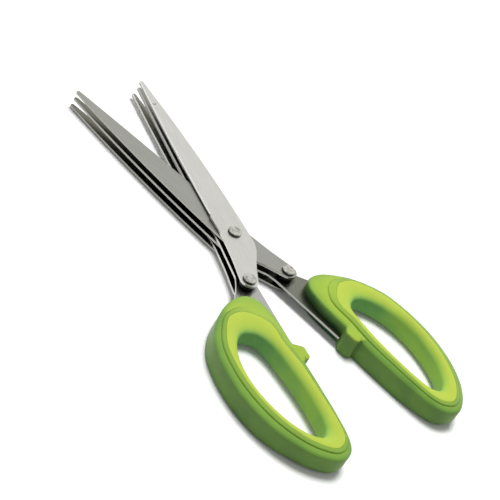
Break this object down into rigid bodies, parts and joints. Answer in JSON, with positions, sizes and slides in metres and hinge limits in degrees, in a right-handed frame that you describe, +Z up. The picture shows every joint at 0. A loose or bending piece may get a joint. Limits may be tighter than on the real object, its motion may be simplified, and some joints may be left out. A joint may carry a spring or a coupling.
{
  "type": "herb scissors",
  "caption": "Scissors with several parallel thin blades on each arm, riveted crosswise at one pivot, and two-tone ring handles with stop nubs; they cut herbs into even strips.",
  "frame": {"origin": "on the pivot axis, at the underside of the pivot rivet, level with the undersides of the handles", "axes": "+Z up along the pivot axis; +Y from the pivot to the blade tips along the line between the two arms; +X to the side of the arm that turns; rest is the open position of the picture"},
  "size_m": [0.1034, 0.1928, 0.011],
  "materials": {
    "blade_steel": "fine satin along the blade, ground edges",
    "rivet_steel": "smooth, slightly worn",
    "green_shell": "satin moulded plastic",
    "lime_grip": "matt soft-touch rubber"
  },
  "bodies": {
    "arm_left": {"left_blade_lower": "blade_steel", "left_blade_middle": "blade_steel", "left_blade_upper": "blade_steel", "left_tail_rivet": "rivet_steel", "left_tail_spacer_lower": "rivet_steel", "left_tail_spacer_upper": "rivet_steel", "left_handle_shell": "green_shell", "left_grip_ring": "lime_grip", "pivot_rivet": "rivet_steel", "pivot_spacer_lower": "rivet_steel", "pivot_spacer_upper": "rivet_steel"},
    "arm_right": {"right_blade_lower": "blade_steel", "right_blade_middle": "blade_steel", "right_blade_upper": "blade_steel", "right_tail_rivet": "rivet_steel", "right_tail_spacer_lower": "rivet_steel", "right_tail_spacer_upper": "rivet_steel", "right_handle_shell": "green_shell", "right_grip_ring": "lime_grip"}
  },
  "joints": [
    {"name": "pivot_hinge", "type": "hinge", "parent": "arm_left", "child": "arm_right", "pos_m": [0, 0, 0.0053], "axis": [0, 0, 1], "range_deg": [-22.5, 28]}
  ]
}
